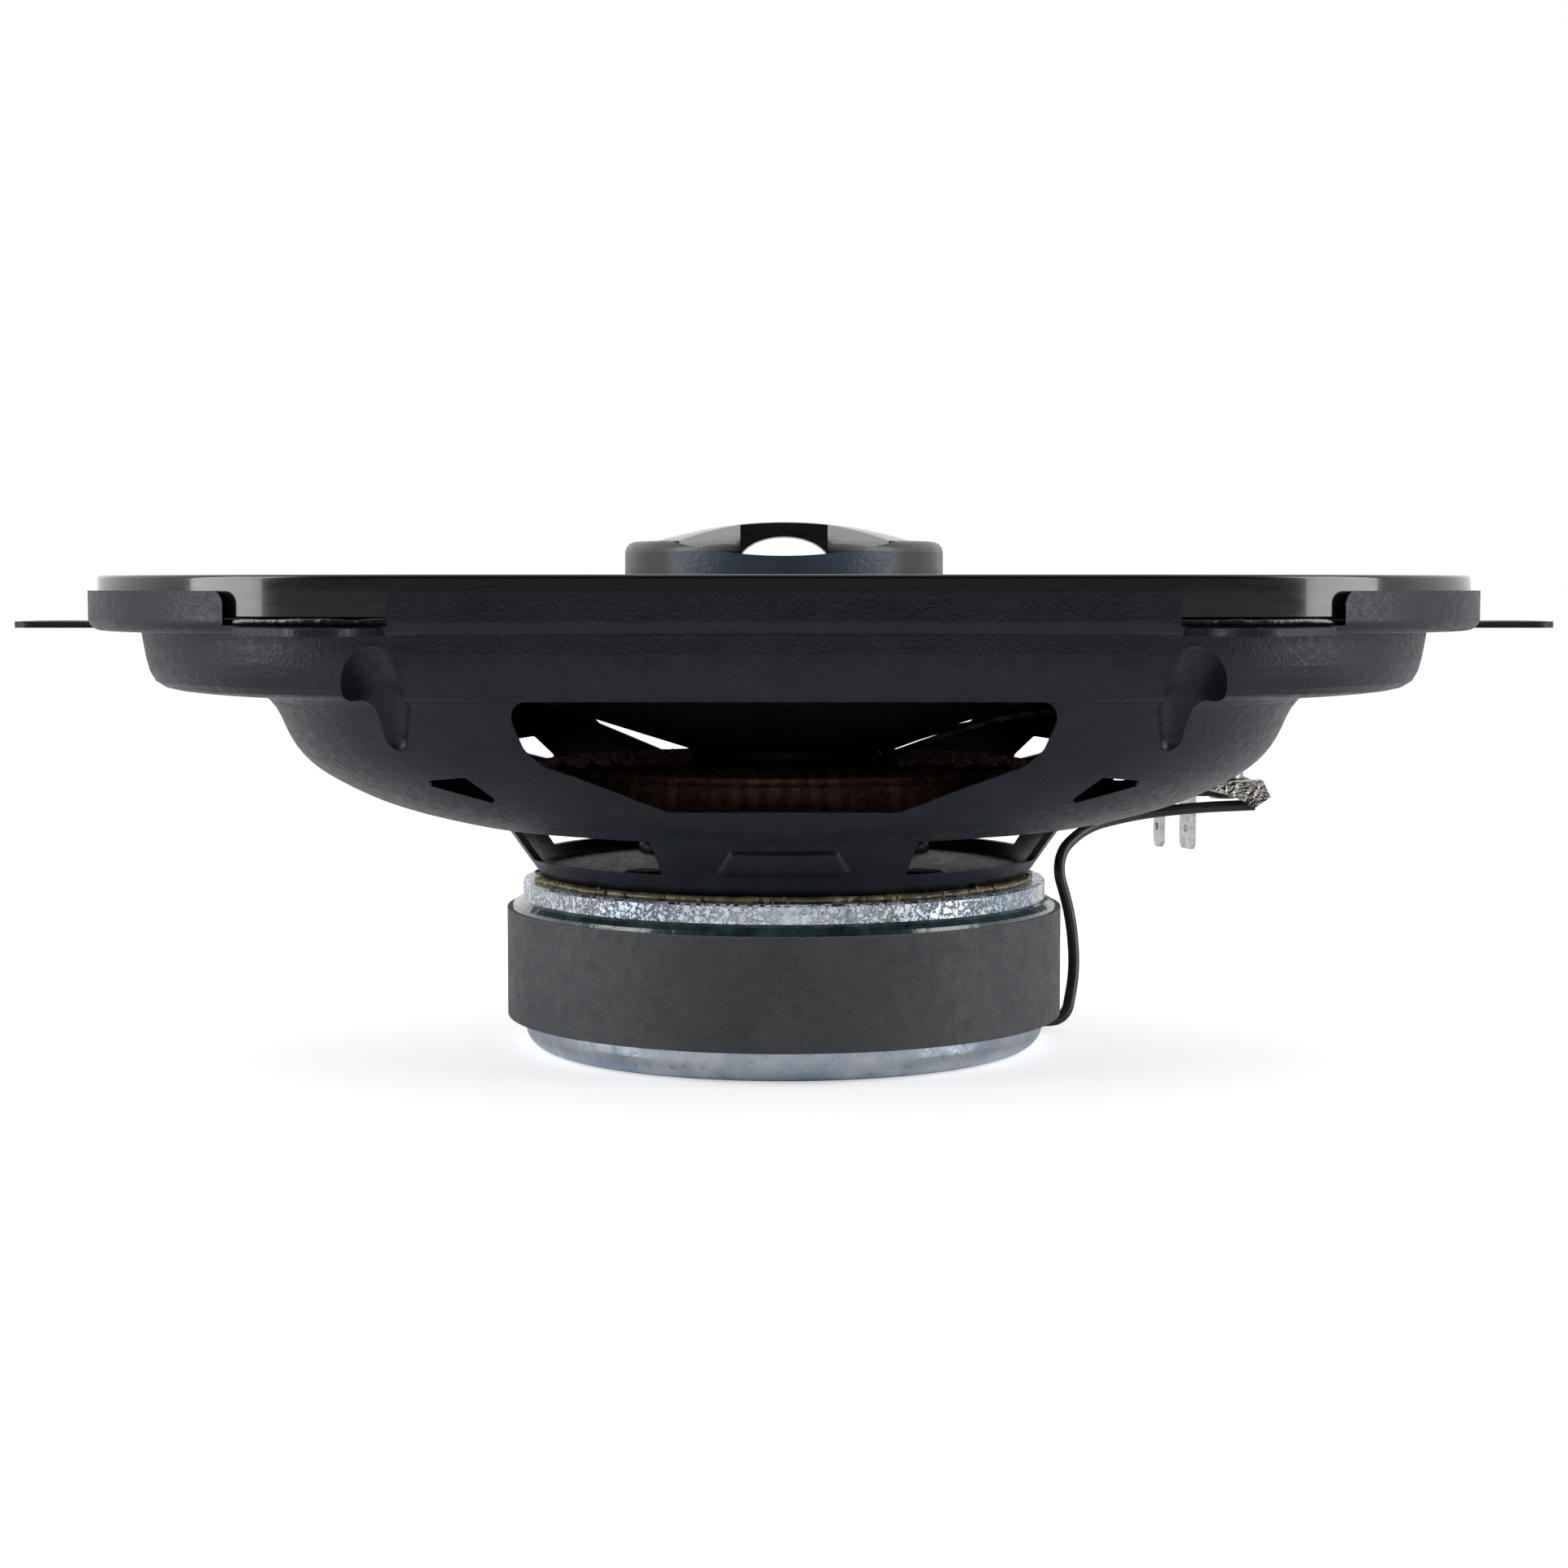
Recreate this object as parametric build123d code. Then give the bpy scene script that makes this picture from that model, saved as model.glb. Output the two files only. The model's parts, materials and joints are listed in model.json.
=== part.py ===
from build123d import *
import math
import os

# Coaxial car loudspeaker with an oval basket. Millimetres, +Z is the way the cone faces.
# The origin is the centre of the back plate's rear face, and +X is the oval's long way.

# Motor
BACK_PLATE_R = 37.3
BACK_PLATE_T = 4.5
BACK_PLATE_EDGE = 2.8
FERRITE_R = 39.9
FERRITE_HOLE_R = 20.0
FERRITE_T = 15.4
TOP_PLATE_R = 37.6
TOP_PLATE_T = 4.0
TOP_PLATE_HOLE_R = 13.95
POLE_R = 12.2
POLE_TOP = 24.7
POLE_BORE_R = 5.0
NUT_RECESS_R = 8.6
NUT_RECESS_DEPTH = 5.6
FERRITE_TOP = BACK_PLATE_T + FERRITE_T
TOP_PLATE_TOP = FERRITE_TOP + TOP_PLATE_T

# Basket
SHEET = 0.9
SEAT_GLUE_T = 0.7
SEAT_R = 34.8
SEAT_Z = TOP_PLATE_TOP + SEAT_GLUE_T
LEDGE_Z = 32.8
LEDGE_HOLE_R = 40.2
FLANGE_Z = 59.8
FLANGE_TOP = FLANGE_Z + SHEET
RIM_TOP = 65.1
RIM_A = 95.2
RIM_B = 69.0
RIM_CORNER = 56.0
BOWL_INSET = 6.9
GASKET_FOOT = 62.0
GASKET_TOP = 67.1

# Half length, half width and height of the bowl's outside, from the spider ledge to the flange.
BOWL_PROFILE = [
    (46.0, 45.6, LEDGE_Z),
    (50.7, 47.0, 33.9),
    (57.8, 49.4, 36.3),
    (62.6, 51.6, 38.9),
    (65.8, 53.8, 41.3),
    (67.6, 55.6, 43.6),
    (68.8, 57.2, 46.2),
    (69.9, 58.4, 49.0),
    (71.6, 59.2, 50.9),
    (76.0, 59.8, 51.4),
    (82.4, 60.4, 51.7),
    (86.0, 61.0, 52.8),
    (87.3, 61.6, 55.3),
    (88.2, 62.0, 58.9),
]
BOWL_STEPS = 36

# Screw ears, end tabs and the rim wall's notches
EAR_X = 55.0
EAR_Y = 71.0
EAR_R = 5.4
EAR_HOLE_R = 2.4
NOTCH_X0 = 47.5
NOTCH_X1 = 68.6
END_TAB_REACH = 109.4
END_TAB_WIDTH = 15.0
END_HOLE_X = 103.6
END_HOLE_R = 2.4

# Terminal board under the bowl
BOARD_TOP = 35.1
BOARD_T = 1.6
RIVET_PLACE = (69.0, 31.5)
BLADE_T = 0.8
BLADE_TURN = 15.0
CAPACITOR_Y = 42.0
LEAD_HOLE_PLACE = (54.8, 24.6)
LEAD_HOLE_R = 4.6

# Moving system
FORMER_IN_R = 12.65
FORMER_OUT_R = 12.9
WINDING_OUT_R = 13.5
NECK_OUT_R = 13.8
CONE_NECK_Z = 42.5
NECK_FOOT = 39.3
CONE_RIM_Z = 62.1
CONE_RIM_INSET = 21.5
CONE_T = 0.9
ROLL_INSET = 14.2
ROLL_HALF = 6.3
SPIDER_Z = 38.0
SPIDER_SHEET = 0.5

# Tweeter
POD_R = 22.8
POD_WALL = 1.8
POD_FLOOR = 54.9
POD_TOP = 72.0
LIP_Z = 69.8
SCALLOP_HALF = 16.0
BRIDGE_R = 18.6
RING_STEP_Z = 69.1
BRIDGE_APEX = 74.9
FACE_Z = 65.3
LEAD_D = 1.7
LEAD_Z = 1.15
LEAD_ANGLE = 14.0


def oval(inset):
    """The rim's outline moved inwards, as a flat face."""
    return RectangleRounded(2 * (RIM_A - inset), 2 * (RIM_B - inset), RIM_CORNER - inset)


def slab(face, low, high):
    """A flat face made solid between two heights."""
    return Pos(0, 0, low) * extrude(face, amount=high - low)


def tube(outer_r, inner_r, low, high):
    """An upright tube."""
    return slab(Circle(outer_r) - Circle(inner_r), low, high)


def disc(radius, low, high, x=0.0, y=0.0):
    """An upright cylinder."""
    return Pos(x, y, 0) * slab(Circle(radius), low, high)


def turned(points):
    """A solid of revolution about Z from (radius, height) points."""
    return revolve(make_face(Plane.XZ * Polyline(*points, close=True)), Axis.Z)


def turned_sheet(line, thickness):
    """Sheet of even thickness turned about Z, from the line down its middle."""
    return revolve(Plane.XZ * trace(line, line_width=thickness), Axis.Z)


def mirrored_pairs(shape):
    """The shape, its mirror image across X, and both across Y."""
    half = [shape, mirror(shape, Plane.YZ)]
    return half + [mirror(s, Plane.XZ) for s in half]


def front_prism(points, near, far, fillet_r):
    """A prism along Y whose outline is given in X and Z."""
    outline = make_face(Polyline(*points, close=True))
    outline = fillet(outline.vertices(), fillet_r)
    return extrude(Plane.XZ.offset(-far) * outline, amount=far - near)


def bowl_section(half_length, half_width, height):
    """One level of the bowl: round at the spider ledge, oval at the flange."""
    rise = min(0.95, (height - LEDGE_Z) / (FLANGE_Z - LEDGE_Z))
    roundness = 0.985 - 0.62 * rise + 0.44 * rise**2
    corner = half_width * roundness
    return Pos(0, 0, height) * RectangleRounded(2 * half_length, 2 * half_width, corner)


def bowl_volume(shrink, lift, top):
    """The space inside the bowl's outer surface, moved inwards and upwards."""
    profile = Spline(*BOWL_PROFILE)
    levels = [profile @ (step / BOWL_STEPS) for step in range(BOWL_STEPS + 1)]
    sections = [bowl_section(p.X - shrink, p.Y - shrink, p.Z + lift) for p in levels]
    last = levels[-1]
    sections.append(bowl_section(last.X - shrink + 0.2, last.Y - shrink + 0.1, top))
    return loft(sections, ruled=True)


def screw_flutes(grow):
    """Hollows that clear the screws under the four ears, following the bowl and narrowing."""
    centres = [Vector(49.4, 50.1, 45.8), Vector(50.2, 54.2, 50.0), Vector(50.8, 62.2, 54.4)]
    radii = [2.0 + grow, 3.6 + grow, 4.3 + grow]
    flute = Pos(centres[0]) * Sphere(radii[0])
    for low, high, low_r, high_r in zip(centres, centres[1:], radii, radii[1:]):
        length = (high - low).length
        along = Plane(origin=low, z_dir=high - low)
        flute = flute + along * Pos(0, 0, length / 2) * Cone(low_r, high_r, length)
        flute = flute + Pos(high) * Sphere(high_r)
    return mirrored_pairs(flute)


def side_window():
    """The tall openings through both long sides of the bowl."""
    half = [(33.2, 51.5), (33.9, 49.3), (32.4, 45.3), (30.2, 43.3), (14.6, 37.1)]
    points = half + [(-x, z) for x, z in reversed(half)]
    return front_prism(points, -80, 80, 2.0)


def leg_slots():
    """Small openings at the foot of the bowl's four legs."""
    points = [(35.6, 37.5), (47.4, 40.6), (40.4, 41.5)]
    return mirrored_pairs(front_prism(points, 36, 60, 0.45))


def lead_hole():
    """Hole through the bowl for the flexible leads."""
    return disc(LEAD_HOLE_R, LEDGE_Z, 46.0, *LEAD_HOLE_PLACE)


def tier_vents():
    """Four openings in the lower tier, two on each long side."""
    vents = []
    for start in (-64.0, 18.0, 116.0, 198.0):
        profile = Plane.XZ * Pos(41, 29.7) * Rectangle(16, 4.8)
        vents.append(Rot(0, 0, start) * revolve(profile, Axis.Z, 46.0))
    return vents


def ear_face(hole_r):
    """One screw ear in plan."""
    ear = make_hull(
        (Pos(EAR_X, EAR_Y) * Circle(EAR_R)).edges()
        + (Pos(NOTCH_X0 + 1.5, 66.0) * Circle(1.5)).edges()
        + (Pos(NOTCH_X1 - 3.0, 62.5) * Circle(1.5)).edges()
    )
    return ear - Pos(EAR_X, EAR_Y) * Circle(hole_r)


def terminal_bracket():
    """The folded tab under the bowl that holds the terminal board."""
    height = 13.0
    upright = Pos(61.5, 27.45, BOARD_TOP + height / 2) * Box(8.0, SHEET, height)
    foot = Pos(64.75, 31.5, BOARD_TOP + SHEET / 2) * Box(14.5, 9.0, SHEET)
    return upright + foot - disc(1.6, 30, 40, *RIVET_PLACE)


def make_basket():
    """Stamped steel frame: seat, lower tier, bowl, flange, rim wall, ears and tabs."""
    outer = bowl_volume(0, 0, FLANGE_TOP)
    inner = bowl_volume(0.75, 0.75, FLANGE_TOP + 2)
    outer = outer - screw_flutes(0)
    inner = inner - screw_flutes(SHEET)
    bowl = outer - inner - disc(LEDGE_HOLE_R, LEDGE_Z - 1, LEDGE_Z + 3)
    bowl = bowl - side_window() - leg_slots() - lead_hole()
    bowl = bowl + (terminal_bracket() - outer)

    middle = FilletPolyline(
        (14.6, SEAT_Z + SHEET / 2),
        (SEAT_R, SEAT_Z + SHEET / 2),
        (40.6, LEDGE_Z + SHEET / 2),
        (45.4, LEDGE_Z + SHEET / 2),
        radius=2.0,
    )
    tier = turned_sheet(middle, SHEET) - tier_vents() - fastener_holes()

    tray = slab(oval(0), FLANGE_Z, RIM_TOP)
    tray = fillet(tray.edges().group_by(Axis.Z)[0], 1.7)
    tray = tray - slab(oval(SHEET), FLANGE_TOP, RIM_TOP + 1)
    tray = tray - slab(oval(BOWL_INSET + 0.6), FLANGE_Z - 1, FLANGE_TOP + 1)
    tray = tray - rim_notches()
    ears = mirrored_pairs(slab(ear_face(EAR_HOLE_R), FLANGE_Z, FLANGE_TOP))
    tabs = end_tabs()
    return bowl + tier + tray + ears + tabs


def notch_face(width, middle):
    """Outline of a gap in the rim wall: square at the foot, rounded out at the top."""
    low = FLANGE_TOP + 0.2
    radius = 1.6
    high = RIM_TOP + 0.01
    face = Pos(middle, (low + high) / 2) * Rectangle(width, high - low)
    for side in (-1, 1):
        edge = middle + side * width / 2
        corner = Pos(edge + side * radius / 2, high - radius / 2) * Rectangle(radius, radius)
        face = face + corner - Pos(edge + side * radius, high - radius) * Circle(radius)
    return face


def rim_notches():
    """Gaps in the rim wall at the ears and at the end tabs."""
    outline = notch_face(NOTCH_X1 - NOTCH_X0, (NOTCH_X0 + NOTCH_X1) / 2)
    gap = extrude(Plane.XZ.offset(-80) * outline, amount=30)
    end = extrude(Plane.YZ.offset(RIM_A - 3) * notch_face(END_TAB_WIDTH + 4, 0), amount=6)
    return mirrored_pairs(gap) + [end, mirror(end, Plane.YZ)]


def end_tabs():
    """Thin screw tabs at both ends of the flange."""
    start = RIM_A - 3.0
    length = END_TAB_REACH - start
    face = Pos(start + length / 2, 0) * Rectangle(length, END_TAB_WIDTH)
    corners = face.vertices().group_by(Axis.X)[-1]
    face = fillet(corners, 3.0) - Pos(END_HOLE_X, 0) * Circle(END_HOLE_R)
    tab = slab(face, FLANGE_Z, FLANGE_TOP)
    return [tab, mirror(tab, Plane.YZ)]


def fastener_places():
    """Where the rivets join the basket's seat to the top plate."""
    angles = (-50.0, -130.0, 50.0, 130.0)
    return [Rot(0, 0, angle) * Pos(29.5, 0, 0) for angle in angles]


def fastener_holes():
    """Clearance for the rivet shanks."""
    return [place * disc(2.0, FERRITE_TOP, SEAT_Z + 2) for place in fastener_places()]


def frame_rivets():
    """Peened rivets on the basket's seat."""
    rivets = []
    for place in fastener_places():
        shank = disc(2.0, FERRITE_TOP, SEAT_Z + SHEET)
        head = slab(Circle(3.2), SEAT_Z + SHEET, SEAT_Z + SHEET + 1.5)
        head = fillet(head.edges().group_by(Axis.Z)[-1], 1.0)
        rivets.append(place * (shank + head))
    return rivets


def make_yoke():
    """Back plate and pole in one forging, with the nut recess and the lead's groove."""
    plate = disc(BACK_PLATE_R, 0, BACK_PLATE_T)
    plate = fillet(plate.edges().group_by(Axis.Z)[0], BACK_PLATE_EDGE)
    pole = disc(POLE_R, 0, POLE_TOP)
    pole = chamfer(pole.edges().group_by(Axis.Z)[-1], 0.6)
    groove_len = BACK_PLATE_R + 4
    groove = Pos(groove_len / 2, 0, LEAD_Z) * Box(groove_len, LEAD_D + 1.0, 2 * LEAD_Z)
    yoke = plate + pole - disc(POLE_BORE_R, -1, POLE_TOP + 1)
    return yoke - disc(NUT_RECESS_R, -1, NUT_RECESS_DEPTH) - Rot(0, 0, LEAD_ANGLE) * groove


def make_top_plate():
    """Front plate, with the rivet holes."""
    plate = tube(TOP_PLATE_R, TOP_PLATE_HOLE_R, FERRITE_TOP, TOP_PLATE_TOP)
    rims = plate.edges().filter_by(GeomType.CIRCLE).sort_by(lambda e: e.radius)[-2:]
    return chamfer(rims, 0.3) - fastener_holes()


def make_seat_glue():
    """Bead of adhesive between the basket's seat and the top plate."""
    bead = tube(SEAT_R + 0.3, 17.0, TOP_PLATE_TOP, SEAT_Z)
    return bead - fastener_holes()


def make_magnet_glue():
    """Fillet of adhesive around the foot of the top plate."""
    points = [
        (TOP_PLATE_R, FERRITE_TOP),
        (TOP_PLATE_R + 1.6, FERRITE_TOP),
        (TOP_PLATE_R + 1.4, FERRITE_TOP + 0.5),
        (TOP_PLATE_R + 0.6, FERRITE_TOP + 1.1),
        (TOP_PLATE_R, FERRITE_TOP + 1.4),
    ]
    return turned(points)


def make_cone():
    """Paper cone with a round neck and an oval rim."""
    neck_r = NECK_OUT_R
    neck = Pos(0, 0, CONE_NECK_Z) * RectangleRounded(2 * neck_r, 2 * neck_r, neck_r - 0.3)
    rim = Pos(0, 0, CONE_RIM_Z) * oval(CONE_RIM_INSET)
    under = loft([neck, rim], ruled=True)
    over = Pos(0, 0, CONE_T) * under
    collar = disc(NECK_OUT_R, NECK_FOOT, CONE_NECK_Z + CONE_T)
    return (under + collar) - over - disc(FORMER_OUT_R, 30, 50)


def make_surround():
    """Half-roll edge from the cone's rim to the flange."""
    rise = CONE_RIM_Z + 0.32
    seat = FLANGE_TOP + 0.35
    line = Line((-ROLL_HALF - 3.0, rise), (-ROLL_HALF, rise))
    line = line + ThreePointArc((-ROLL_HALF, rise), (0, rise + 3.7), (ROLL_HALF, seat))
    line = line + Line((ROLL_HALF, seat), (ROLL_HALF + 6.0, seat))
    path = oval(ROLL_INSET).wire()
    along = path % 0
    outward = along.cross(Vector(0, 0, 1))
    section = Plane(origin=path @ 0, x_dir=outward, z_dir=-along) * trace(line, line_width=0.6)
    return Solid.sweep(section.face(), path)


def make_spider():
    """Corrugated cloth cup that centres the coil."""
    rolls = 6
    first_r = 14.6
    pitch = (38.6 - first_r) / (2 * rolls)
    line = Line((FORMER_OUT_R + 0.3, SPIDER_Z), (first_r, SPIDER_Z))
    for half in range(2 * rolls):
        r0 = first_r + half * pitch
        bulge = 1.0 if half % 2 == 0 else -1.0
        mid = (r0 + pitch / 2, SPIDER_Z + bulge)
        line = line + ThreePointArc((r0, SPIDER_Z), mid, (r0 + pitch, SPIDER_Z))
    flange_z = LEDGE_Z + SHEET + SPIDER_SHEET / 2
    line = line + Polyline((38.6, SPIDER_Z), (39.4, flange_z), (44.0, flange_z))
    return turned_sheet(line, SPIDER_SHEET)


def make_former():
    """Tube that carries the winding and the cone."""
    return tube(FORMER_OUT_R, FORMER_IN_R, 16.7, 44.5)


def make_winding():
    """Voice coil, seen as one band of wire."""
    return tube(WINDING_OUT_R, FORMER_OUT_R, 17.0, 27.0)


def make_neck_glue():
    """Bead between the cone's neck and the former."""
    foot = SPIDER_Z + 0.4
    outer = NECK_OUT_R + 0.4
    return turned([(FORMER_OUT_R, foot), (outer, foot), (outer - 0.5, NECK_FOOT), (FORMER_OUT_R, NECK_FOOT)])


def lead_pads():
    """Glue blobs where the flexible leads leave the neck."""
    pads = []
    for side in (-1, 1):
        blob = Pos(12.6, side * 6.9, 41.0) * Sphere(1.5)
        pads.append(blob - disc(NECK_OUT_R, 30, 50))
    return pads


def flexible_leads():
    """Braided leads from the neck to the terminal board."""
    routes = [
        [(13.6, -8.4, 41.4), (22.0, -15.5, 45.0), (33.0, -20.5, 48.6), (45.0, -13.0, 48.2),
         (53.2, 8.0, 43.4), (56.6, 27.6, 35.7)],
        [(14.0, 8.0, 41.4), (22.0, 13.5, 44.0), (32.0, 19.0, 45.6), (43.0, 24.0, 44.0),
         (52.2, 21.4, 40.6), (55.6, 31.0, 35.7)],
    ]
    leads = []
    for route in routes:
        path = FilletPolyline(*route, radius=corner_radii(route))
        start = Plane(origin=path @ 0, z_dir=path % 0)
        leads.append(sweep(start * Circle(0.45), path=path))
    return leads


def corner_radii(route):
    """The largest comfortable radius at each corner of a route."""
    points = [Vector(*p) for p in route]
    radii = []
    for before, at, after in zip(points, points[1:], points[2:]):
        come = at - before
        leave = after - at
        turn = math.radians(come.get_angle(leave))
        radii.append(0.45 * min(come.length, leave.length) / math.tan(turn / 2))
    return radii


def make_gasket():
    """Glossy ring that traps the surround against the flange."""
    ring = slab(oval(SHEET + 0.4), GASKET_FOOT, GASKET_TOP)
    ring = ring - slab(oval(BOWL_INSET - 0.2), FLANGE_TOP, GASKET_TOP + 1)
    top = ring.edges().group_by(Axis.Z)[-1]
    return fillet(top, 0.5)


def make_board():
    """Fibre board that carries the push-on blades."""
    face = Pos(63.7, 34.5) * RectangleRounded(18.6, 19.0, 1.5)
    face = face - Pos(*RIVET_PLACE) * Circle(1.6)
    for x, y, width in blade_places():
        face = face - Pos(x, y) * Rot(0, 0, BLADE_TURN) * Rectangle(BLADE_T, width)
    return slab(face, BOARD_TOP - BOARD_T, BOARD_TOP)


def blade_places():
    """Place and width of the small and the large blade."""
    return [(59.4, 37.6, 2.8), (64.0, 38.4, 4.8)]


def make_blade(index, tip_z):
    """Tinned push-on blade with rounded corners and a small dimple hole."""
    x, y, width = blade_places()[index]
    height = BOARD_TOP - tip_z
    face = Rectangle(width, height)
    face = chamfer(face.vertices().group_by(Axis.Y)[0], 0.8)
    face = face - Pos(0, -height / 2 + 3.2) * Circle(0.6)
    blade = extrude(Plane.YZ * face, amount=BLADE_T / 2, both=True)
    return Pos(x, y, tip_z + height / 2) * Rot(0, 0, BLADE_TURN) * blade


def make_terminal_rivet():
    """Rivet through the bracket and the board."""
    under = BOARD_TOP - BOARD_T
    over = BOARD_TOP + SHEET
    head = slab(Circle(2.6), over, over + 1.3)
    head = fillet(head.edges().group_by(Axis.Z)[-1], 0.8)
    return Pos(*RIVET_PLACE) * (disc(1.6, under, over) + disc(2.6, under - 0.7, under) + head)


def make_solder():
    """Wedge of solder and flux on the board's edge, where the tweeter's lead ends."""
    points = [(63.6, 34.9), (68.6, 35.9), (73.0, 36.2), (74.2, 33.6), (71.8, 31.9), (68.8, 33.6)]
    outline = make_face(Polyline(*points, close=True))
    wedge = extrude(Plane.XZ.offset(-24.9) * outline, amount=3.2)
    return wedge - lead_tube()


def make_capacitor():
    """Blocking capacitor glued on the board behind the bowl."""
    body = Plane.YZ.offset(57.8) * Pos(CAPACITOR_Y, BOARD_TOP + 4.4) * Circle(3.6)
    can = extrude(body, amount=10.5)
    return fillet(can.edges().filter_by(GeomType.CIRCLE), 0.6)


def make_capacitor_glue():
    """Pad of hot glue under the capacitor."""
    return Pos(63.0, CAPACITOR_Y, BOARD_TOP + 0.4) * Box(8.0, 3.0, 0.8)


def lead_route():
    """Route of the tweeter's lead, from the solder joint to the pole's bore."""
    across = math.radians(LEAD_ANGLE)
    corner = (43.3 * math.cos(across), 43.3 * math.sin(across), LEAD_Z)
    return [
        (72.0, 23.2, 32.3),
        (63.2, 23.4, 31.9),
        (54.2, 22.6, 31.0),
        (45.6, 18.2, 29.4),
        (40.4, 13.0, 25.2),
        (43.0, 13.4, 16.4),
        (43.6, 12.6, 8.4),
        corner,
        (0.0, 0.0, LEAD_Z),
        (0.0, 0.0, 57.9),
    ]


def lead_radii(route):
    """Radii of the lead's corners: free outside, tight at the groove and in the pole."""
    radii = corner_radii(route)
    radii[-2] = 3.0
    radii[-1] = 2.4
    return radii


def lead_tube():
    """Insulated two-core lead of the tweeter."""
    route = lead_route()
    path = FilletPolyline(*route, radius=lead_radii(route))
    start = Plane(origin=path @ 0, z_dir=path % 0)
    return sweep(start * Circle(LEAD_D / 2), path=path)


def make_post():
    """Hollow post that carries the tweeter in front of the cone."""
    post = disc(4.8, 3.2, POD_FLOOR + 1.6)
    post = post + disc(10.5, POLE_TOP, POLE_TOP + 2.4) + disc(6.2, POLE_TOP, POD_FLOOR)
    post = post + disc(9.0, POD_FLOOR - 2.0, POD_FLOOR)
    return post - disc(2.2, 0, 60)


def make_post_nut():
    """Hexagon nut in the back plate's recess."""
    face = RegularPolygon(7.4, 6) - Circle(4.8)
    return slab(face, 3.2, NUT_RECESS_DEPTH)


def scallop():
    """Cutter for the dips in the pod's front and rear lip."""
    depth = POD_TOP - LIP_Z
    radius = (SCALLOP_HALF**2 + depth**2) / (2 * depth)
    return Pos(0, 0, LIP_Z + radius) * Rot(90, 0, 0) * Cylinder(radius, 60)


def make_pod():
    """Tweeter housing: a cup with a rounded, dipping lip."""
    cup = disc(POD_R, POD_FLOOR, POD_TOP)
    cup = fillet(cup.edges().group_by(Axis.Z)[-1], 1.6)
    cup = chamfer(cup.edges().group_by(Axis.Z)[0], 2.0)
    cup = cup - disc(POD_R - POD_WALL, FACE_Z, POD_TOP + 1)
    cup = cup - disc(POD_R - POD_WALL - 2.0, POD_FLOOR + 1.6, POD_TOP)
    return cup - disc(4.8, POD_FLOOR - 1, POD_FLOOR + 2) - scallop()


def pod_panels():
    """Raised hexagonal panels on the front and rear of the pod."""
    half = [(14.6, 71.1), (15.7, 70.2), (13.2, 67.6), (10.2, 61.9)]
    points = half + [(-x, z) for x, z in reversed(half)]
    skin = tube(POD_R + 0.35, POD_R, 60, POD_TOP - 1.5)
    front = front_prism(points, -30, 0, 0.6)
    panel = skin & front
    return [panel - scallop(), mirror(panel - scallop(), Plane.XZ)]


def make_bezel():
    """Ring inside the lip, with the bow-tie bridge over the dome."""
    inner_r = POD_R - POD_WALL
    ring = tube(inner_r, 17.0, FACE_Z + 1.2, POD_TOP - 0.7) - scallop()
    ring = ring - disc(BRIDGE_R, RING_STEP_Z, POD_TOP)
    ball_r = (BRIDGE_R**2 + (BRIDGE_APEX - POD_TOP) ** 2) / (2 * (BRIDGE_APEX - POD_TOP))
    ball = Pos(0, 0, BRIDGE_APEX - ball_r) * Sphere(ball_r)
    half = [(18.6, 12.6), (15.5, 12.2), (6.2, 5.0)]
    quarter = half + [(-x, y) for x, y in reversed(half)]
    plan = quarter + [(x, -y) for x, y in reversed(quarter)]
    strip = slab(make_face(Polyline(*plan, close=True)) & Circle(BRIDGE_R), RING_STEP_Z, 80)
    eye = extrude(Plane.XZ * Pos(0, RING_STEP_Z - 0.3) * Ellipse(6.6, 3.9), amount=30, both=True)
    return ring + (strip & ball) - eye


def make_pot():
    """Steel cup of the tweeter's motor."""
    return disc(11.0, FACE_Z - 7.0, FACE_Z) - disc(9.3, FACE_Z - 5.0, FACE_Z + 1)


def make_face_ring():
    """Plate that holds the tweeter's motor and suspension in the pod."""
    return tube(POD_R - POD_WALL, 9.5, FACE_Z, FACE_Z + 1.2)


def make_dome():
    """Tweeter dome."""
    base_z = FACE_Z + 1.5
    rise = 2.8
    base_r = 9.1
    ball_r = (base_r**2 + rise**2) / (2 * rise)
    centre = base_z + rise - ball_r
    shell = Pos(0, 0, centre) * Sphere(ball_r) - Pos(0, 0, centre) * Sphere(ball_r - 0.3)
    return (shell & disc(20, base_z, base_z + 5)) + tube(base_r, 8.3, base_z, base_z + 0.3)


def make_dome_roll():
    """Half-roll suspension around the dome."""
    seat = FACE_Z + 1.35
    line = ThreePointArc((9.3, seat + 0.35), (10.9, seat + 1.45), (12.5, seat))
    line = line + Line((12.5, seat), (14.6, seat))
    return turned_sheet(line, 0.24)


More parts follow.
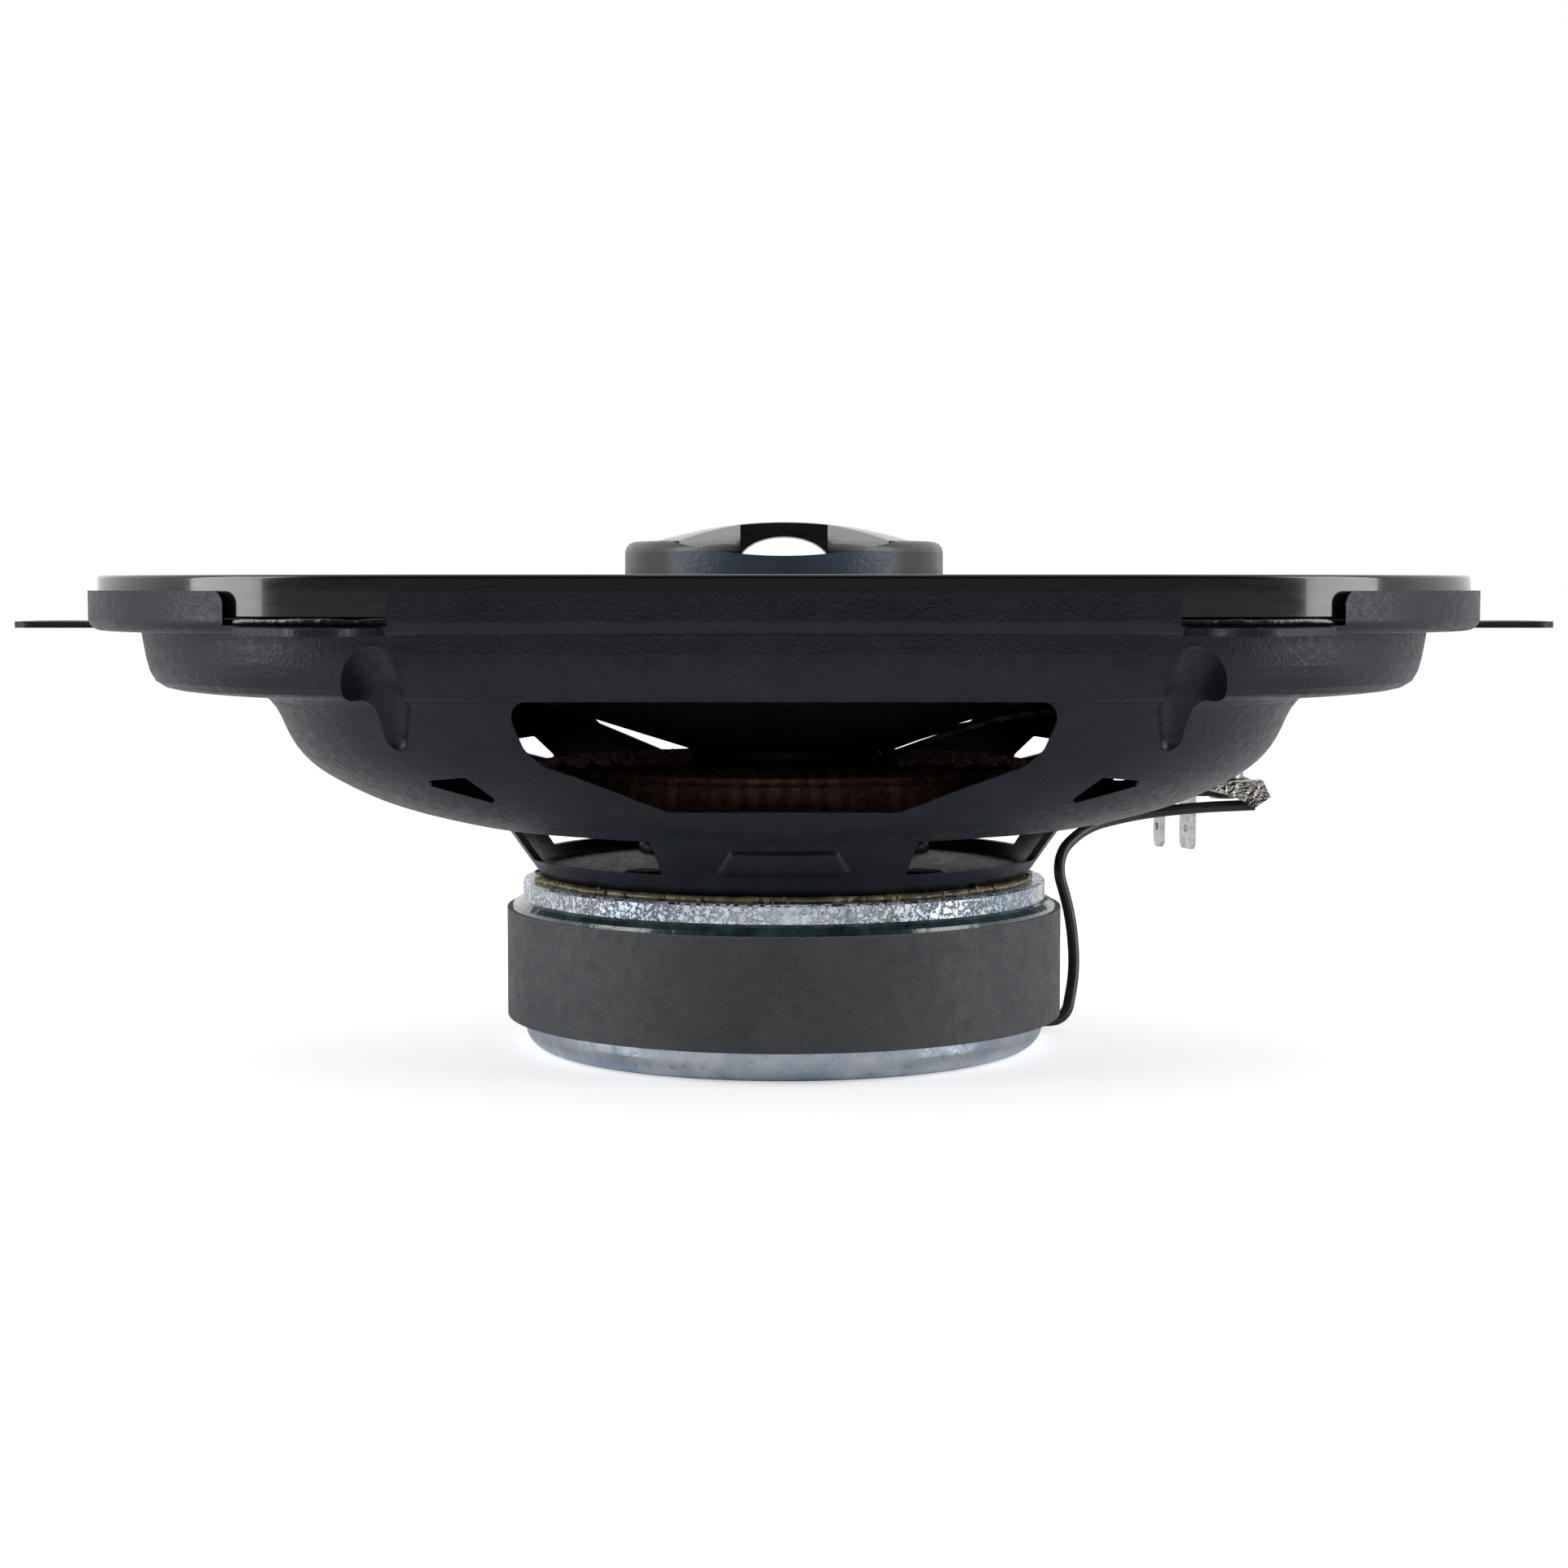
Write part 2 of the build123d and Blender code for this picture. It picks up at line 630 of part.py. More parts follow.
PARTS = {
    "basket": make_basket,
    "frame_rivets": frame_rivets,
    "seat_adhesive": make_seat_glue,
    "top_plate": make_top_plate,
    "magnet_adhesive": make_magnet_glue,
    "ferrite_magnet": lambda: tube(FERRITE_R, FERRITE_HOLE_R, BACK_PLATE_T, FERRITE_TOP),
    "yoke": make_yoke,
    "gasket_ring": make_gasket,
    "surround": make_surround,
    "spider": make_spider,
    "cone": make_cone,
    "voice_coil_former": make_former,
    "voice_coil_winding": make_winding,
    "neck_adhesive": make_neck_glue,
    "lead_pads": lead_pads,
    "flexible_leads": flexible_leads,
    "terminal_board": make_board,
    "blade_small": lambda: make_blade(0, 24.6),
    "blade_large": lambda: make_blade(1, 24.2),
    "terminal_rivet": make_terminal_rivet,
    "solder_joint": make_solder,
    "capacitor": make_capacitor,
    "capacitor_adhesive": make_capacitor_glue,
    "tweeter_lead": lead_tube,
    "tweeter_post": make_post,
    "post_nut": make_post_nut,
    "tweeter_pod": make_pod,
    "pod_panels": pod_panels,
    "tweeter_bezel": make_bezel,
    "tweeter_pot": make_pot,
    "tweeter_magnet": lambda: disc(7.6, FACE_Z - 5.0, FACE_Z - 2.2),
    "tweeter_pole_plate": lambda: disc(8.1, FACE_Z - 2.2, FACE_Z - 0.2),
    "tweeter_tag_board": lambda: disc(6.0, FACE_Z - 7.4, FACE_Z - 7.0),
    "tweeter_face_ring": make_face_ring,
    "tweeter_coil": lambda: tube(8.95, 8.45, FACE_Z - 3.0, FACE_Z + 1.5),
    "tweeter_dome": make_dome,
    "tweeter_dome_roll": make_dome_roll,
}


def main():
    os.makedirs("parts", exist_ok=True)
    for node, build in PARTS.items():
        shape = build()
        if isinstance(shape, list):
            shape = Compound(children=[Compound(s.solids()) for s in shape])
        export_step(shape, f"parts/{node}.step")
        print(node, len(shape.solids()), round(shape.volume, 1))


main()
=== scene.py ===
import json
import math
import random

import bpy
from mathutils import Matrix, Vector, noise


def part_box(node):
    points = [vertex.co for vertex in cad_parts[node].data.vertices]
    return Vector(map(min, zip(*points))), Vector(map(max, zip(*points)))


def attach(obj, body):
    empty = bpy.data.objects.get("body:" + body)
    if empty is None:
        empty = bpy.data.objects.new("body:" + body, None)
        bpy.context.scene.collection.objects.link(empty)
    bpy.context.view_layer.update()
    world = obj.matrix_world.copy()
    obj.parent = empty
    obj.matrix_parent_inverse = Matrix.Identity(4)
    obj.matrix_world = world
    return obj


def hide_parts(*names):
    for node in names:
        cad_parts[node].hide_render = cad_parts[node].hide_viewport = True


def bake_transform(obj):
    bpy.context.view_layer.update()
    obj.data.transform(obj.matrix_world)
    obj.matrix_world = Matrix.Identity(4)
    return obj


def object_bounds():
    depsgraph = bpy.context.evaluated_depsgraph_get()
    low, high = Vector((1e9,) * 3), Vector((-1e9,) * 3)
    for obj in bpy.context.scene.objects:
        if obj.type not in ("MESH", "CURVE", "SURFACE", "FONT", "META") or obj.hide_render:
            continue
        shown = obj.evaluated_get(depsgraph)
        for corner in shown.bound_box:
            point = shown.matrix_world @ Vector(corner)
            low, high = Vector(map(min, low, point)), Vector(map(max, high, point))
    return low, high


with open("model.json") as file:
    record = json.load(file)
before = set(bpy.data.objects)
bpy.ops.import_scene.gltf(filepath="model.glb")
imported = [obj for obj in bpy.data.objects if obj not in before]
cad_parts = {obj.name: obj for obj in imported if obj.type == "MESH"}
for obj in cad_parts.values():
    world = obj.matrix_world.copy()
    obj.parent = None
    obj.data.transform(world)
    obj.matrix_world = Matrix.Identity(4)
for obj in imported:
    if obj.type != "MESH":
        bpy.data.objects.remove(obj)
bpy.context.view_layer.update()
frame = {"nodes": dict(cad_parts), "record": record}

MM = 0.001
nodes = frame["nodes"]


# ---------------------------------------------------------------- materials


class Surface:
    """A procedural material: a Principled shader and the textures that drive it."""

    def __init__(self, name, colour, roughness, metallic=0.0, **sockets):
        self.material = bpy.data.materials.new(name)
        self.material.use_nodes = True
        self.tree = self.material.node_tree
        self.shader = self.tree.nodes["Principled BSDF"]
        self.set("Base Color", (*colour, 1.0))
        self.set("Roughness", roughness)
        self.set("Metallic", metallic)
        for socket, value in sockets.items():
            self.set(socket.replace("_", " "), value)
        self.coordinates = self.add("ShaderNodeTexCoord").outputs["Object"]
        self.normal = None

    def add(self, kind, **values):
        node = self.tree.nodes.new(kind)
        for key, value in values.items():
            setattr(node, key, value)
        return node

    def set(self, socket, value):
        self.shader.inputs[socket].default_value = value

    def link(self, a, b):
        self.tree.links.new(a, b)

    def stretched(self, scale):
        """Object coordinates multiplied by a different number along each axis."""
        mapping = self.add("ShaderNodeMapping")
        mapping.inputs["Scale"].default_value = scale
        self.link(self.coordinates, mapping.inputs["Vector"])
        return mapping.outputs["Vector"]

    def noise(self, size, detail=3.0, roughness=0.55, stretch=None):
        """Noise whose features are about size metres across."""
        node = self.add("ShaderNodeTexNoise")
        node.inputs["Scale"].default_value = 1.0 / size
        node.inputs["Detail"].default_value = detail
        node.inputs["Roughness"].default_value = roughness
        source = self.stretched(stretch) if stretch else self.coordinates
        self.link(source, node.inputs["Vector"])
        return node.outputs["Fac"]

    def cells(self, size, feature="F1"):
        """Voronoi distance with cells about size metres across."""
        node = self.add("ShaderNodeTexVoronoi", feature=feature)
        node.inputs["Scale"].default_value = 1.0 / size
        self.link(self.coordinates, node.inputs["Vector"])
        return node.outputs["Distance"]

    def ramp(self, factor, stops):
        """A colour ramp through (position, colour) stops."""
        node = self.add("ShaderNodeValToRGB")
        elements = node.color_ramp.elements
        while len(elements) < len(stops):
            elements.new(0.5)
        for element, (place, colour) in zip(elements, stops):
            element.position = place
            element.color = (*colour, 1.0)
        self.link(factor, node.inputs["Fac"])
        return node.outputs["Color"]

    def between(self, factor, low, high, start=0.3, end=0.7):
        """A value that goes from low to high as the factor goes from start to end."""
        node = self.add("ShaderNodeMapRange")
        node.inputs["From Min"].default_value = start
        node.inputs["From Max"].default_value = end
        node.inputs["To Min"].default_value = low
        node.inputs["To Max"].default_value = high
        self.link(factor, node.inputs["Value"])
        return node.outputs["Result"]

    def math(self, operation, a, b=None):
        node = self.add("ShaderNodeMath", operation=operation)
        for socket, value in zip(node.inputs, (a, b)):
            if value is None:
                continue
            if isinstance(value, (int, float)):
                socket.default_value = value
            else:
                self.link(value, socket)
        return node.outputs["Value"]

    def mix(self, factor, a, b):
        """Mix of two colours, each a colour or a socket."""
        node = self.add("ShaderNodeMix", data_type="RGBA")
        self.link(factor, node.inputs["Factor"])
        for socket, value in (("A", a), ("B", b)):
            target = [s for s in node.inputs if s.name == socket and s.type == "RGBA"][0]
            if isinstance(value, tuple):
                target.default_value = (*value, 1.0)
            else:
                self.link(value, target)
        return [s for s in node.outputs if s.type == "RGBA"][0]

    def colour_from(self, socket):
        self.link(socket, self.shader.inputs["Base Color"])
        return self

    def roughness_from(self, socket):
        self.link(socket, self.shader.inputs["Roughness"])
        return self

    def bump(self, height, depth, strength=1.0):
        """Adds a layer of bump, depth metres high."""
        node = self.add("ShaderNodeBump")
        node.inputs["Distance"].default_value = depth
        node.inputs["Strength"].default_value = strength
        self.link(height, node.inputs["Height"])
        if self.normal is not None:
            self.link(self.normal, node.inputs["Normal"])
        self.normal = node.outputs["Normal"]
        self.link(self.normal, self.shader.inputs["Normal"])
        return self

    def axis(self, letter):
        """One coordinate, in metres."""
        node = self.add("ShaderNodeSeparateXYZ")
        self.link(self.coordinates, node.inputs["Vector"])
        return node.outputs[letter]

    def radius(self):
        """Distance from the speaker's axis, in metres."""
        x = self.axis("X")
        y = self.axis("Y")
        squares = self.math("ADD", self.math("POWER", x, 2.0), self.math("POWER", y, 2.0))
        return self.math("SQRT", squares)

    def angle(self):
        return self.math("ARCTAN2", self.axis("Y"), self.axis("X"))


def powder_coat():
    """Blue-black pebbled powder coat with a little dust on its grain."""
    s = Surface("powder_coat", (0.008, 0.010, 0.016), 0.36, Specular_IOR_Level=0.30)
    broad = s.noise(0.005, 3.0)
    dust = s.between(s.noise(0.0008, 5.0, 0.7), 0.0, 0.30, 0.56, 0.74)
    tone = s.ramp(broad, [(0.3, (0.006, 0.008, 0.014)), (0.7, (0.011, 0.014, 0.022))])
    s.colour_from(s.mix(dust, tone, (0.040, 0.048, 0.062)))
    s.roughness_from(s.between(s.noise(0.0012, 3.0), 0.30, 0.48))
    return s.bump(s.cells(0.00042, "SMOOTH_F1"), 0.00007, 0.7).material


def zinc(name, edge=False):
    """Bright zinc plate: cool, mirror-like in places, torn a little where it is a cut edge."""
    s = Surface(name, (0.70, 0.75, 0.80), 0.2, 1.0)
    tint = s.ramp(s.noise(0.009, 4.0, 0.6), [
        (0.28, (0.46, 0.56, 0.64)),
        (0.42, (0.78, 0.84, 0.88)),
        (0.54, (0.62, 0.68, 0.76)),
        (0.66, (0.50, 0.62, 0.76)),
        (0.80, (0.80, 0.82, 0.80)),
    ])
    stain = s.between(s.noise(0.0011, 6.0, 0.72), 0.0, 0.75, 0.58, 0.68)
    s.colour_from(s.mix(stain, tint, (0.22, 0.25, 0.29)))
    s.roughness_from(s.between(s.noise(0.003, 4.0), 0.10, 0.32))
    if edge:
        torn = s.noise(0.0012, 5.0, 0.7)
        s.bump(s.between(torn, 0.0, 1.0, 0.46, 0.56), 0.00030, 0.8)
    s.bump(s.noise(0.005, 3.0), 0.00030, 0.4)
    return s.bump(s.noise(0.0005, 3.0), 0.00005, 0.5).material


def ferrite():
    """Fired ferrite: dark, matte, speckled, with chips and a ground, browner top."""
    s = Surface("ferrite", (0.055, 0.057, 0.062), 0.58)
    fleck = s.noise(0.0006, 5.0, 0.7)
    broad = s.noise(0.012, 4.0, 0.6)
    side = s.ramp(fleck, [
        (0.3, (0.036, 0.038, 0.043)),
        (0.55, (0.066, 0.068, 0.074)),
        (0.8, (0.13, 0.13, 0.14)),
    ])
    wash = s.ramp(broad, [(0.3, (0.046, 0.048, 0.053)), (0.7, (0.090, 0.090, 0.094))])
    body = s.mix(s.between(fleck, 0.3, 0.7), side, wash)
    top = s.between(s.axis("Z"), 0.0, 1.0, 0.01982, 0.01989)
    rays = s.add("ShaderNodeTexNoise", noise_dimensions="1D")
    rays.inputs["Scale"].default_value = 60.0
    rays.inputs["Detail"].default_value = 4.0
    s.link(s.angle(), rays.inputs["W"])
    ground = s.ramp(rays.outputs["Fac"], [(0.35, (0.11, 0.10, 0.092)), (0.65, (0.26, 0.24, 0.22))])
    s.colour_from(s.mix(top, body, ground))
    s.roughness_from(s.between(s.noise(0.002, 4.0), 0.5, 0.75))
    s.bump(s.noise(0.0003, 3.0), 0.00004, 0.6)
    return s.bump(s.noise(0.003, 5.0, 0.7), 0.00012, 0.35).material


def glue(name, thin, thick, roughness, size=0.004, coat=0.3):
    """Hardened adhesive: uneven colour, soft lumps and a skin of gloss."""
    s = Surface(name, thick, roughness, Coat_Weight=coat, Coat_Roughness=0.08)
    s.colour_from(s.ramp(s.noise(size, 4.0, 0.6), [(0.35, thin), (0.65, thick)]))
    s.bump(s.noise(size * 0.5, 2.0), 0.0004, 0.5)
    return s.bump(s.cells(size * 0.3), 0.0001, 0.3).material


def moulded(name, colour, roughness, grain=0.0004, depth=0.00002, coat=0.0):
    """Moulded plastic with a fine grain and slight unevenness of shine."""
    s = Surface(name, colour, roughness, Coat_Weight=coat, Coat_Roughness=0.05)
    light = tuple(min(1.0, c * 1.25 + 0.002) for c in colour)
    s.colour_from(s.ramp(s.noise(0.006, 3.0), [(0.35, colour), (0.7, light)]))
    s.roughness_from(s.between(s.noise(0.004, 4.0), roughness * 0.8, roughness * 1.25))
    return s.bump(s.noise(grain, 3.0), depth, 0.6).material


def gloss_black(name):
    """Polished black moulding with hairline scuffs."""
    s = Surface(name, (0.006, 0.006, 0.007), 0.12, Coat_Weight=0.4, Coat_Roughness=0.03)
    s.roughness_from(s.between(s.noise(0.0015, 5.0, 0.7, stretch=(0.15, 0.15, 1.0)), 0.07, 0.22))
    return s.bump(s.noise(0.0008, 3.0, stretch=(0.2, 0.2, 1.0)), 0.000008, 0.6).material


def rubber(name, colour, roughness=0.5):
    """Soft rubber or insulation with a faint mottle."""
    s = Surface(name, colour, roughness)
    light = tuple(c * 1.6 for c in colour)
    s.colour_from(s.ramp(s.noise(0.003, 3.0), [(0.35, colour), (0.7, light)]))
    s.roughness_from(s.between(s.noise(0.0015, 4.0), roughness * 0.75, roughness * 1.2))
    return s.bump(s.noise(0.0006, 3.0), 0.00003, 0.5).material


def cone_paper():
    """Coated black paper with fibres."""
    s = Surface("cone_paper", (0.018, 0.018, 0.020), 0.55)
    fibre = s.noise(0.0012, 6.0, 0.75)
    s.colour_from(s.ramp(fibre, [(0.35, (0.012, 0.012, 0.014)), (0.75, (0.035, 0.034, 0.034))]))
    s.roughness_from(s.between(s.noise(0.004, 3.0), 0.42, 0.66))
    return s.bump(fibre, 0.00010, 0.5).material


def spider_cloth():
    """Brown resin-dipped cloth: threads round and across, uneven dye and loose fluff."""
    s = Surface("spider_cloth", (0.20, 0.085, 0.055), 0.85, Sheen_Weight=0.5, Sheen_Roughness=0.5)
    s.set("Sheen Tint", (0.85, 0.55, 0.42, 1.0))
    threads = []
    for axis in ("X", "Y"):
        wave = s.add("ShaderNodeTexWave", bands_direction=axis, wave_profile="SIN")
        wave.inputs["Scale"].default_value = 1.0 / 0.0085
        wave.inputs["Distortion"].default_value = 1.2
        wave.inputs["Detail"].default_value = 2.0
        wave.inputs["Detail Scale"].default_value = 2.0
        s.link(s.coordinates, wave.inputs["Vector"])
        threads.append(wave.outputs["Fac"])
    weave = s.math("MULTIPLY", threads[0], threads[1])
    rings = s.math("SINE", s.math("MULTIPLY", s.radius(), 2 * math.pi / 0.00085))
    fluff = s.noise(0.0009, 5.0, 0.75)
    patch = s.ramp(fluff, [
        (0.3, (0.16, 0.062, 0.042)),
        (0.55, (0.40, 0.17, 0.12)),
        (0.8, (0.72, 0.46, 0.36)),
    ])
    thread = s.ramp(weave, [(0.15, (0.16, 0.064, 0.042)), (0.7, (0.58, 0.29, 0.20))])
    s.colour_from(s.mix(s.between(fluff, 0.2, 0.8), thread, patch))
    s.bump(rings, 0.00018, 0.6)
    s.bump(weave, 0.0004, 0.9)
    return s.bump(fluff, 0.0003, 0.7).material


def braid():
    """Copper braid over a brown cotton core."""
    s = Surface("lead_braid", (0.20, 0.11, 0.07), 0.55, 0.3)
    wave = s.add("ShaderNodeTexWave", bands_direction="DIAGONAL")
    wave.inputs["Scale"].default_value = 1.0 / 0.006
    wave.inputs["Distortion"].default_value = 2.0
    s.link(s.coordinates, wave.inputs["Vector"])
    s.colour_from(s.ramp(wave.outputs["Fac"], [(0.3, (0.035, 0.020, 0.014)), (0.7, (0.12, 0.075, 0.050))]))
    return s.bump(wave.outputs["Fac"], 0.0002, 0.9).material


def bare_metal(name, colour, roughness, streaks=(0.3, 0.3, 1.0)):
    """Plated metal with small scratches and dull patches."""
    s = Surface(name, colour, roughness, 1.0)
    dull = tuple(c * 0.62 for c in colour)
    s.colour_from(s.ramp(s.noise(0.0018, 5.0, 0.7), [(0.35, dull), (0.6, colour)]))
    s.roughness_from(s.between(s.noise(0.001, 4.0), roughness * 0.6, roughness * 1.6))
    return s.bump(s.noise(0.0005, 3.0, stretch=streaks), 0.00004, 0.6).material


def molten(name):
    """Solder with flux: bright folds, dark hollows and a brown stain here and there."""
    s = Surface(name, (0.50, 0.47, 0.42), 0.12, 1.0)
    folds = s.noise(0.0020, 5.0, 0.7)
    s.colour_from(s.ramp(folds, [(0.35, (0.10, 0.085, 0.070)), (0.55, (0.62, 0.59, 0.53))]))
    s.roughness_from(s.between(s.noise(0.001, 3.0), 0.06, 0.25))
    s.bump(s.noise(0.0028, 3.0, 0.6), 0.0012, 1.0)
    return s.bump(s.noise(0.0007, 3.0), 0.0002, 0.6).material


def leather_grain(name, colour):
    """Satin plastic with a moulded leather grain."""
    s = Surface(name, colour, 0.42)
    vein = s.cells(0.0011, "DISTANCE_TO_EDGE")
    light = tuple(c * 1.35 for c in colour)
    s.colour_from(s.ramp(s.noise(0.003, 3.0), [(0.35, colour), (0.7, light)]))
    s.bump(s.between(vein, 0.0, 1.0, 0.0, 0.25), 0.00003, 0.5)
    return s.bump(s.noise(0.0004, 3.0), 0.00002, 0.6).material


def dome_film(name):
    """Thin amber film, glossy and slightly uneven."""
    s = Surface(name, (0.26, 0.20, 0.12), 0.22, Coat_Weight=0.5)
    cloud = s.noise(0.004, 3.0)
    s.colour_from(s.ramp(cloud, [(0.35, (0.20, 0.15, 0.08)), (0.7, (0.33, 0.27, 0.17))]))
    return s.bump(s.noise(0.002, 2.0), 0.00003, 0.4).material


MATERIALS = {
    "powder_coat": powder_coat(),
    "dark_rivet": bare_metal("dark_rivet", (0.10, 0.092, 0.088), 0.5),
    "amber_glue": glue("amber_glue", (0.11, 0.085, 0.045), (0.34, 0.27, 0.15), 0.35, 0.003),
    "zinc_plate": zinc("zinc_plate", edge=True),
    "zinc_yoke": zinc("zinc_yoke"),
    "teal_glue": glue("teal_glue", (0.012, 0.030, 0.034), (0.05, 0.095, 0.10), 0.18, 0.004, 0.6),
    "ferrite": ferrite(),
    "gloss_gasket": gloss_black("gloss_gasket"),
    "rubber_edge": rubber("rubber_edge", (0.012, 0.012, 0.013), 0.42),
    "spider_cloth": spider_cloth(),
    "cone_paper": cone_paper(),
    "coil_former": bare_metal("coil_former", (0.10, 0.095, 0.09), 0.4),
    "coil_wire": bare_metal("coil_wire", (0.50, 0.22, 0.09), 0.35, (1.0, 1.0, 6.0)),
    "black_glue": glue("black_glue", (0.008, 0.008, 0.009), (0.02, 0.02, 0.022), 0.2, 0.003, 0.5),
    "lead_braid": braid(),
    "fibre_board": moulded("fibre_board", (0.022, 0.019, 0.017), 0.55, 0.0005, 0.00006),
    "tinned_blade": bare_metal("tinned_blade", (0.74, 0.74, 0.72), 0.3),
    "steel_rivet": bare_metal("steel_rivet", (0.46, 0.42, 0.38), 0.35),
    "solder": molten("solder"),
    "capacitor_sleeve": moulded("capacitor_sleeve", (0.012, 0.022, 0.075), 0.3, 0.0008, 0.00002, 0.4),
    "hot_glue": glue("hot_glue", (0.42, 0.38, 0.29), (0.62, 0.58, 0.48), 0.3, 0.004, 0.3),
    "lead_insulation": rubber("lead_insulation", (0.016, 0.018, 0.021), 0.36),
    "post_plastic": moulded("post_plastic", (0.03, 0.03, 0.032), 0.5),
    "nut_steel": bare_metal("nut_steel", (0.6, 0.6, 0.6), 0.3),
    "pod_plastic": moulded("pod_plastic", (0.060, 0.060, 0.064), 0.33, 0.0003, 0.00001),
    "panel_plastic": leather_grain("panel_plastic", (0.055, 0.080, 0.110)),
    "gloss_bezel": gloss_black("gloss_bezel"),
    "tweeter_steel": bare_metal("tweeter_steel", (0.6, 0.6, 0.6), 0.3),
    "neodymium": bare_metal("neodymium", (0.65, 0.64, 0.62), 0.2),
    "tag_board": moulded("tag_board", (0.22, 0.14, 0.07), 0.6, 0.0006, 0.00005),
    "face_ring_plastic": moulded("face_ring_plastic", (0.02, 0.02, 0.021), 0.45),
    "tweeter_wire": bare_metal("tweeter_wire", (0.50, 0.22, 0.09), 0.35, (1.0, 1.0, 6.0)),
    "dome_film": dome_film("dome_film"),
    "dome_roll_film": dome_film("dome_roll_film"),
}


def dress_cad_nodes():
    """Gives each CAD node the material of its slot."""
    slots = {part["node"]: part["material_slot"] for part in frame["record"]["subparts"]}
    for name, node in nodes.items():
        for index in range(len(node.data.materials)):
            node.data.materials[index] = MATERIALS[slots[name]]
        if not node.data.materials:
            node.data.materials.append(MATERIALS[slots[name]])


# ---------------------------------------------------------------- mesh helpers


def mesh_piece(name, points, faces, slot, body=None):
    """A smooth mesh in the row frame with a slot's material, riding on a body if one is given."""
    mesh = bpy.data.meshes.new(name)
    mesh.from_pydata([tuple(p) for p in points], [], faces)
    mesh.validate()
    mesh.polygons.foreach_set("use_smooth", [True] * len(mesh.polygons))
    mesh.materials.append(MATERIALS[slot])
    piece = bpy.data.objects.new(name, mesh)
    bpy.context.scene.collection.objects.link(piece)
    if body:
        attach(piece, body)
    return piece


def ring_faces(rows, columns, closed_rows=False):
    """Quads of a band whose columns close round the axis."""
    faces = []
    last = rows if closed_rows else rows - 1
    for i in range(last):
        for j in range(columns):
            k = (j + 1) % columns
            n = (i + 1) % rows
            faces.append((i * columns + j, i * columns + k, n * columns + k, n * columns + j))
    return faces


def rim_point(inset, share):
    """A point on the rim's rounded outline, moved inwards; share runs from 0 to 1 round it."""
    half_x = RIM_HALF_X - inset
    half_y = RIM_HALF_Y - inset
    corner = RIM_CORNER - inset
    flat_x = half_x - corner
    flat_y = half_y - corner
    arc = 0.5 * math.pi * (RIM_CORNER - ROLL_INSET)
    runs = [2 * flat_y, arc, 2 * flat_x, arc] * 2
    along = (share % 1.0) * sum(runs)
    step = 0
    while along > runs[step]:
        along -= runs[step]
        step += 1
    side = step // 2
    if step % 2:
        turn = (0.5 * side + 0.5 * along / arc) * math.pi
        centre = Vector(((1, -1, -1, 1)[side] * flat_x, (1, 1, -1, -1)[side] * flat_y))
        return centre + corner * Vector((math.cos(turn), math.sin(turn)))
    start, end = [
        (Vector((half_x, -flat_y)), Vector((half_x, flat_y))),
        (Vector((flat_x, half_y)), Vector((-flat_x, half_y))),
        (Vector((-half_x, flat_y)), Vector((-half_x, -flat_y))),
        (Vector((-flat_x, -half_y)), Vector((flat_x, -half_y))),
    ][side]
    return start.lerp(end, along / runs[step])


RIM_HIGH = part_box("gasket_ring")[1]
GASKET_INSET = 1.3 * MM
RIM_HALF_X = RIM_HIGH.x + GASKET_INSET
RIM_HALF_Y = RIM_HIGH.y + GASKET_INSET
RIM_CORNER = 56.0 * MM
ROLL_INSET = 14.2 * MM
ROLL_HALF = 6.3 * MM
NECK_ROLL_R = 14.6 * MM
OUTER_ROLL_R = 38.6 * MM
SPIDER_ROLLS = 6


# ---------------------------------------------------------------- soft parts


def blended(piece):
    """Bakes a piece's placement into its mesh and returns the piece."""
    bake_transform(piece)
    return piece


def eased(t):
    t = min(1.0, max(0.0, t))
    return t * t * (3 - 2 * t)


def make_surround():
    """Half-roll rubber edge, from the cone's lip to the flange."""
    low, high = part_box("surround")
    inner_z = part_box("cone")[1].z + 0.32 * MM
    outer_z = low.z + 0.3 * MM
    rise = high.z - 0.3 * MM - (inner_z + outer_z) / 2
    line = [(-ROLL_HALF - 3.0 * MM, inner_z)]
    steps = 28
    for i in range(steps + 1):
        t = i / steps
        a = math.pi * (1 - t)
        base = inner_z + (outer_z - inner_z) * t
        line.append((ROLL_HALF * math.cos(a), base + rise * math.sin(a) ** 0.85))
    line.append((ROLL_HALF + 5.8 * MM, outer_z))
    section = thick_line(line, 0.3 * MM)
    columns = 480
    points = []
    for u, z in section:
        for j in range(columns):
            p = rim_point(ROLL_INSET - u, j / columns)
            ripple = 0.03 * MM * noise.noise(Vector((p.x, p.y, z)) * 400)
            points.append((p.x, p.y, z + ripple))
    piece = mesh_piece("surround_edge", points, ring_faces(len(section), columns, True), "rubber_edge")
    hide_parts("surround")
    return blended(piece)


def thick_line(line, half_thickness):
    """The closed section of a sheet, from the line down its middle."""
    above = []
    below = []
    for i, (u, z) in enumerate(line):
        before = line[max(0, i - 1)]
        after = line[min(len(line) - 1, i + 1)]
        along = Vector((after[0] - before[0], after[1] - before[1])).normalized()
        side = Vector((-along.y, along.x)) * half_thickness
        above.append((u + side.x, z + side.y))
        below.append((u - side.x, z - side.y))
    return above + below[::-1]


